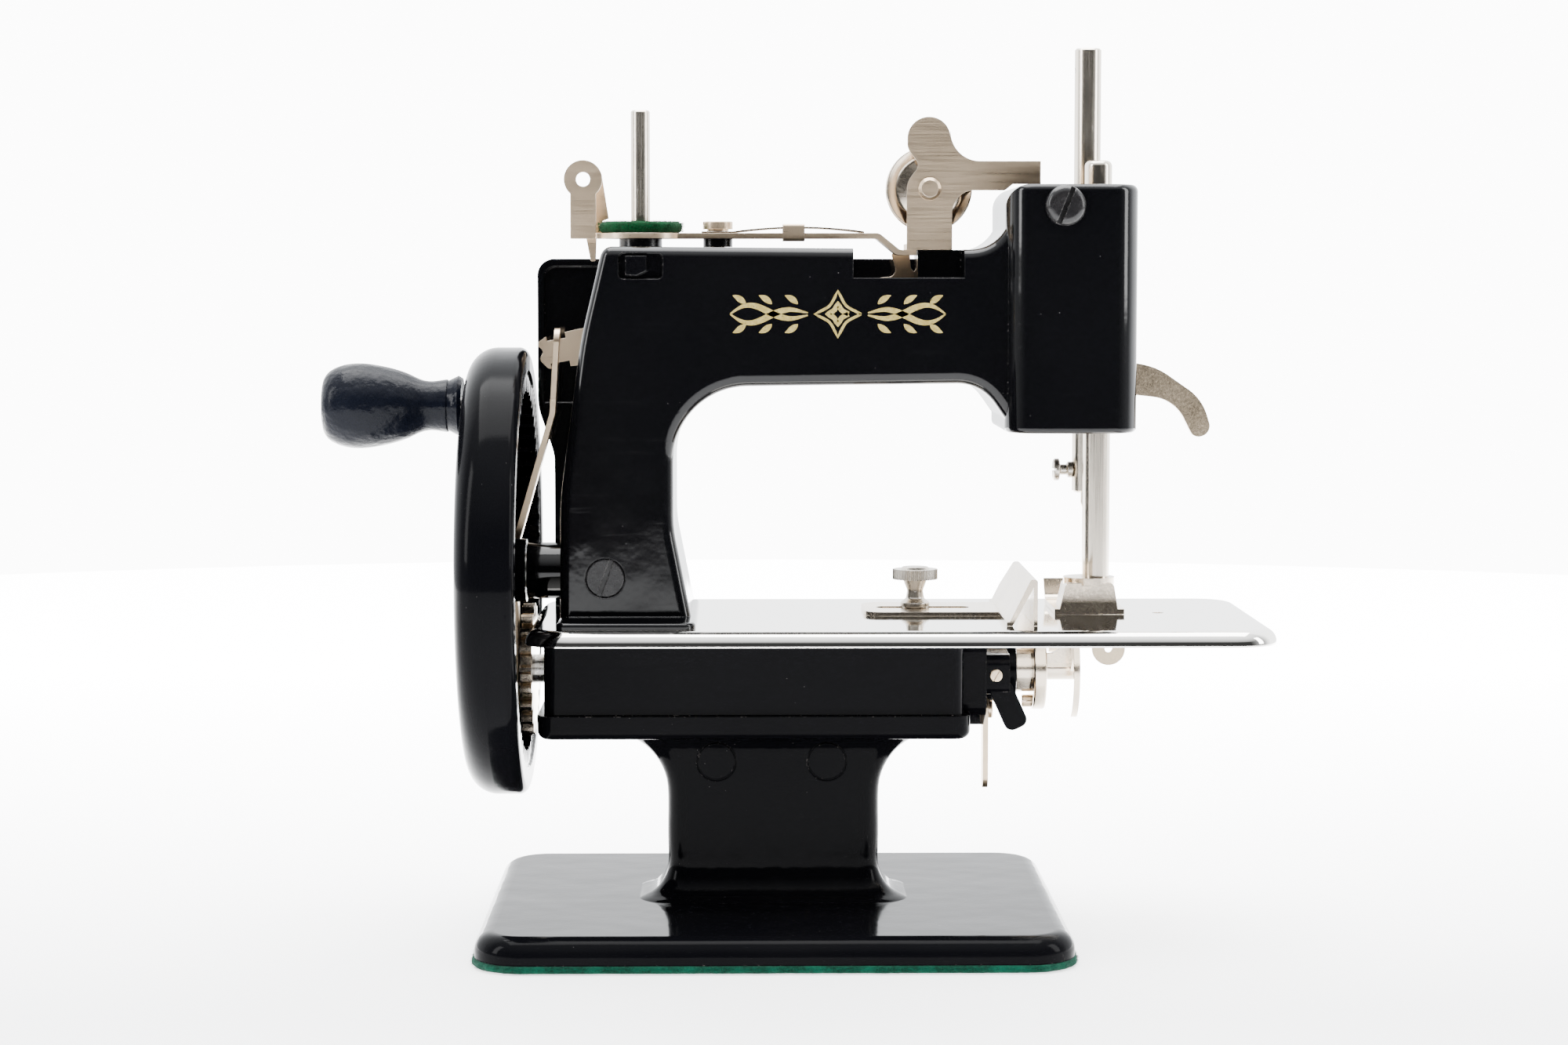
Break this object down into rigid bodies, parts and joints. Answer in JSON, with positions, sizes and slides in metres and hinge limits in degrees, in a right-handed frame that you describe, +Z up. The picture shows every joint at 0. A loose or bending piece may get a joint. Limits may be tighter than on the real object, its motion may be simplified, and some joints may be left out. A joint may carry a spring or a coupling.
{
  "type": "toy sewing machine",
  "caption": "Hand-cranked chain-stitch toy sewing machine on a pedestal base, with a geared handwheel, needle bar, presser foot and sliding cloth guide.",
  "frame": {"origin": "middle of the base's underside, on the felt", "axes": "+X from the handwheel to the needle, +Y to the side the user sits on, +Z up"},
  "size_m": [0.191, 0.0964, 0.1818],
  "materials": {
    "black_enamel": "gloss stoved enamel",
    "green_felt": "felt",
    "bright_nickel": "polished nickel plate",
    "satin_nickel": "brushed nickel plate",
    "black_steel": "blacked steel",
    "plain_steel": "ground steel",
    "black_wood": "black paint over turned wood"
  },
  "bodies": {
    "frame": {"base_felt": "green_felt", "base_casting": "black_enamel", "bed_plate": "bright_nickel", "pillar_screws": "plain_steel", "arm_casting": "black_enamel", "arm_back_cover": "black_enamel", "cover_screws": "black_steel", "head_screw": "black_steel", "head_side_screw": "black_steel", "axle_lock_screw": "black_steel", "wheel_axle": "black_steel", "axle_end_screw": "black_steel", "lever_pivot_pin": "plain_steel", "lever_spacer": "plain_steel", "presser_spring": "plain_steel", "lifter_pin": "plain_steel", "top_plate": "satin_nickel", "plate_spacers": "black_steel", "spool_pin": "bright_nickel", "spool_felt": "green_felt", "tension_spring": "satin_nickel", "tension_bracket": "satin_nickel", "bracket_screw": "satin_nickel", "pulley_axle": "satin_nickel", "feed_pivot_screw": "satin_nickel", "regulator_screw": "satin_nickel", "bearing_screw": "satin_nickel", "under_bed_clip": "bright_nickel", "clip_screw": "satin_nickel"},
    "wheel": {"handwheel": "black_enamel", "knob_stud": "plain_steel"},
    "knob": {"crank_knob": "black_wood"},
    "looper_unit": {"pinion_gear": "bright_nickel", "crank_pin": "bright_nickel", "looper_shaft": "plain_steel", "shaft_collar": "plain_steel", "feed_cam": "bright_nickel", "cam_screws": "satin_nickel", "looper": "bright_nickel"},
    "lever": {"needle_lever": "satin_nickel"},
    "link": {"drive_link": "satin_nickel"},
    "needle_unit": {"needle_bar": "bright_nickel", "needle_bar_stud": "plain_steel", "needle": "plain_steel", "needle_clamp_screw": "satin_nickel"},
    "presser_unit": {"presser_bar": "bright_nickel", "presser_collar": "satin_nickel", "presser_foot": "bright_nickel"},
    "lifter": {"presser_lifter": "satin_nickel"},
    "pulley": {"tension_pulley": "bright_nickel"},
    "clip": {"tension_clip": "satin_nickel"},
    "adjuster": {"tension_screw": "satin_nickel"},
    "guide": {"cloth_guide": "bright_nickel"},
    "thumb_screw": {"guide_thumb_screw": "satin_nickel"},
    "feed": {"feed_lever": "satin_nickel"},
    "regulator": {"stitch_regulator": "satin_nickel"}
  },
  "joints": [
    {"name": "wheel_spin", "type": "hinge", "parent": "frame", "child": "wheel", "pos_m": [-0.0565, 0, 0.074], "axis": [1, 0, 0], "continuous": true},
    {"name": "knob_spin", "type": "hinge", "parent": "wheel", "child": "knob", "pos_m": [-0.077, -0.01052, 0.10842], "axis": [1, 0, 0], "continuous": true},
    {"name": "looper_spin", "type": "hinge", "parent": "frame", "child": "looper_unit", "pos_m": [0, 0.0127, 0.052], "axis": [1, 0, 0], "continuous": true},
    {"name": "lever_rock", "type": "hinge", "parent": "frame", "child": "lever", "pos_m": [0, 0.009, 0.1268], "axis": [0, 1, 0], "range_deg": [0, 15.6]},
    {"name": "link_swing", "type": "hinge", "parent": "lever", "child": "link", "pos_m": [-0.04464, 0.009, 0.11909], "axis": [0, 1, 0], "range_deg": [-15.6, 0]},
    {"name": "needle_bar_slide", "type": "slide", "parent": "frame", "child": "needle_unit", "axis": [0, 0, 1], "range_m": [-0.0181, 0]},
    {"name": "lifter_turn", "type": "hinge", "parent": "frame", "child": "lifter", "pos_m": [0.0696, -0.0009, 0.1136], "axis": [0, -1, 0], "range_deg": [0, 60]},
    {"name": "presser_slide", "type": "slide", "parent": "frame", "child": "presser_unit", "axis": [0, 0, 1], "range_m": [0, 0.005], "deforming": ["presser_spring"]},
    {"name": "pulley_spin", "type": "hinge", "parent": "frame", "child": "pulley", "pos_m": [0.0317, -0.0036, 0.1522], "axis": [0, 1, 0], "continuous": true},
    {"name": "clip_slide", "type": "slide", "parent": "frame", "child": "clip", "axis": [1, 0, 0], "range_m": [-0.006, 0.008]},
    {"name": "tension_screw_turn", "type": "hinge", "parent": "frame", "child": "adjuster", "pos_m": [-0.0113, 0, 0.144], "axis": [0, 0, 1], "range_deg": [-180, 180]},
    {"name": "guide_slide", "type": "slide", "parent": "frame", "child": "guide", "axis": [1, 0, 0], "range_m": [-0.008, 0.004]},
    {"name": "thumb_screw_turn", "type": "hinge", "parent": "frame", "child": "thumb_screw", "pos_m": [0.0297, 0.006, 0.07], "axis": [0, 0, 1], "range_deg": [-180, 180]},
    {"name": "feed_rock", "type": "hinge", "parent": "frame", "child": "feed", "pos_m": [0.0604, 0.026, 0.0565], "axis": [1, 0, 0], "range_deg": [0, 5]},
    {"name": "regulator_swing", "type": "hinge", "parent": "frame", "child": "regulator", "pos_m": [0.0442, 0.0038, 0.0446], "axis": [1, 0, 0], "range_deg": [-25, 25]}
  ],
  "couplings": [
    {"joint": "looper_spin", "follows": "wheel_spin", "ratio": 3},
    {"joint": "link_swing", "follows": "lever_rock", "ratio": -1},
    {"joint": "needle_bar_slide", "follows": "lever_rock", "m_per_rad": -0.0663},
    {"joint": "lifter_turn", "follows": "presser_slide", "rad_per_m": 209.43}
  ]
}
